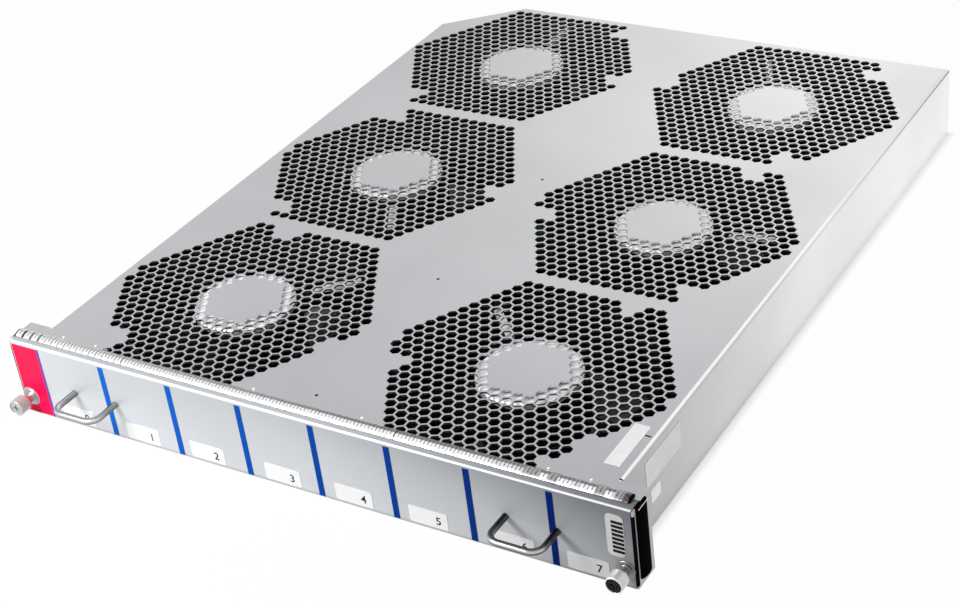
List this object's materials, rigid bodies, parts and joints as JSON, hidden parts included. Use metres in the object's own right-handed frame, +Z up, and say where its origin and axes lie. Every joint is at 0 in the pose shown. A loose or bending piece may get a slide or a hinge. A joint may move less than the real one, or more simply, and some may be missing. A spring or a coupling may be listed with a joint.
{
  "type": "fan tray",
  "caption": "Sliding rack fan tray: fans hung under a honeycomb cover, with a labelled front panel, wire handles and captive screws.",
  "frame": {"origin": "middle of the tray on the plane it stands on", "axes": "+X to the tray's right as seen from the front, +Y from the front panel to the rear, +Z up"},
  "size_m": [0.4304, 0.547, 0.055],
  "materials": {
    "sheet_metal": "satin",
    "panel_paint": "satin",
    "contact_strip": "bright",
    "foam": "matte",
    "handle_steel": "satin",
    "screw_steel": "satin",
    "knob_metal": "satin",
    "spring_steel": "bright",
    "fan_frame_black": "matte",
    "rotor_black": "satin",
    "motor_metal": "satin",
    "bearing_bronze": "satin",
    "lead_plastic": "satin",
    "stud_steel": "satin",
    "board_green": "satin",
    "standoff_brass": "satin",
    "connector_black": "matte",
    "label_red": "satin",
    "stripe_blue": "satin",
    "label_white": "satin"
  },
  "bodies": {
    "tray": {"top_cover": "sheet_metal", "body_pan": "sheet_metal", "wing_bracket_left": "sheet_metal", "wing_bracket_right": "sheet_metal", "cover_rib": "sheet_metal", "front_panel": "panel_paint", "finger_strip_1": "contact_strip", "finger_strip_2": "contact_strip", "finger_strip_3": "contact_strip", "finger_strip_4": "contact_strip", "side_gasket_left": "foam", "handle_left": "handle_steel", "screw_ferrule_left": "screw_steel", "screw_spring_left": "spring_steel", "side_gasket_right": "foam", "handle_right": "handle_steel", "screw_ferrule_right": "screw_steel", "screw_spring_right": "spring_steel", "fan_frame_1": "fan_frame_black", "fan_motor_1": "motor_metal", "fan_frame_2": "fan_frame_black", "fan_motor_2": "motor_metal", "fan_frame_3": "fan_frame_black", "fan_motor_3": "motor_metal", "fan_frame_4": "fan_frame_black", "fan_motor_4": "motor_metal", "fan_frame_5": "fan_frame_black", "fan_motor_5": "motor_metal", "fan_frame_6": "fan_frame_black", "fan_motor_6": "motor_metal", "fan_bearings": "bearing_bronze", "lead_channels": "lead_plastic", "fan_studs": "stud_steel", "control_board": "board_green", "board_standoffs": "standoff_brass", "rear_connector": "connector_black", "red_label": "label_red", "slot_stripes": "stripe_blue", "slot_labels": "label_white", "bar_label": "label_white", "cover_label": "label_white", "side_label": "label_white", "side_tag": "label_white"},
    "rotor_1": {"fan_rotor_1": "rotor_black"},
    "rotor_2": {"fan_rotor_2": "rotor_black"},
    "rotor_3": {"fan_rotor_3": "rotor_black"},
    "rotor_4": {"fan_rotor_4": "rotor_black"},
    "rotor_5": {"fan_rotor_5": "rotor_black"},
    "rotor_6": {"fan_rotor_6": "rotor_black"},
    "left_washer": {"thrust_washer_left": "screw_steel"},
    "left_screw": {"captive_screw_left": "screw_steel", "screw_knob_left": "knob_metal"},
    "right_washer": {"thrust_washer_right": "screw_steel"},
    "right_screw": {"captive_screw_right": "screw_steel", "screw_knob_right": "knob_metal"}
  },
  "joints": [
    {"name": "fan_1_spin", "type": "hinge", "parent": "tray", "child": "rotor_1", "pos_m": [-0.1012, -0.159, 0.0264], "axis": [0, 0, 1], "continuous": true},
    {"name": "fan_2_spin", "type": "hinge", "parent": "tray", "child": "rotor_2", "pos_m": [0.1012, -0.159, 0.0264], "axis": [0, 0, 1], "continuous": true},
    {"name": "fan_3_spin", "type": "hinge", "parent": "tray", "child": "rotor_3", "pos_m": [-0.1012, 0.013, 0.0264], "axis": [0, 0, 1], "continuous": true},
    {"name": "fan_4_spin", "type": "hinge", "parent": "tray", "child": "rotor_4", "pos_m": [0.1012, 0.013, 0.0264], "axis": [0, 0, 1], "continuous": true},
    {"name": "fan_5_spin", "type": "hinge", "parent": "tray", "child": "rotor_5", "pos_m": [-0.1012, 0.185, 0.0264], "axis": [0, 0, 1], "continuous": true},
    {"name": "fan_6_spin", "type": "hinge", "parent": "tray", "child": "rotor_6", "pos_m": [0.1012, 0.185, 0.0264], "axis": [0, 0, 1], "continuous": true},
    {"name": "left_screw_press", "type": "slide", "parent": "tray", "child": "left_washer", "axis": [0, 1, 0], "range_m": [0, 0.0036], "stiffness_N_per_m": 300, "springref_m": -0.004, "deforming": ["screw_spring_left"]},
    {"name": "left_screw_turn", "type": "hinge", "parent": "left_washer", "child": "left_screw", "pos_m": [-0.2068, -0.2605, 0.0122], "axis": [0, 1, 0], "continuous": true},
    {"name": "right_screw_press", "type": "slide", "parent": "tray", "child": "right_washer", "axis": [0, 1, 0], "range_m": [0, 0.0036], "stiffness_N_per_m": 300, "springref_m": -0.004, "deforming": ["screw_spring_right"]},
    {"name": "right_screw_turn", "type": "hinge", "parent": "right_washer", "child": "right_screw", "pos_m": [0.2068, -0.2605, 0.0122], "axis": [0, 1, 0], "continuous": true}
  ]
}
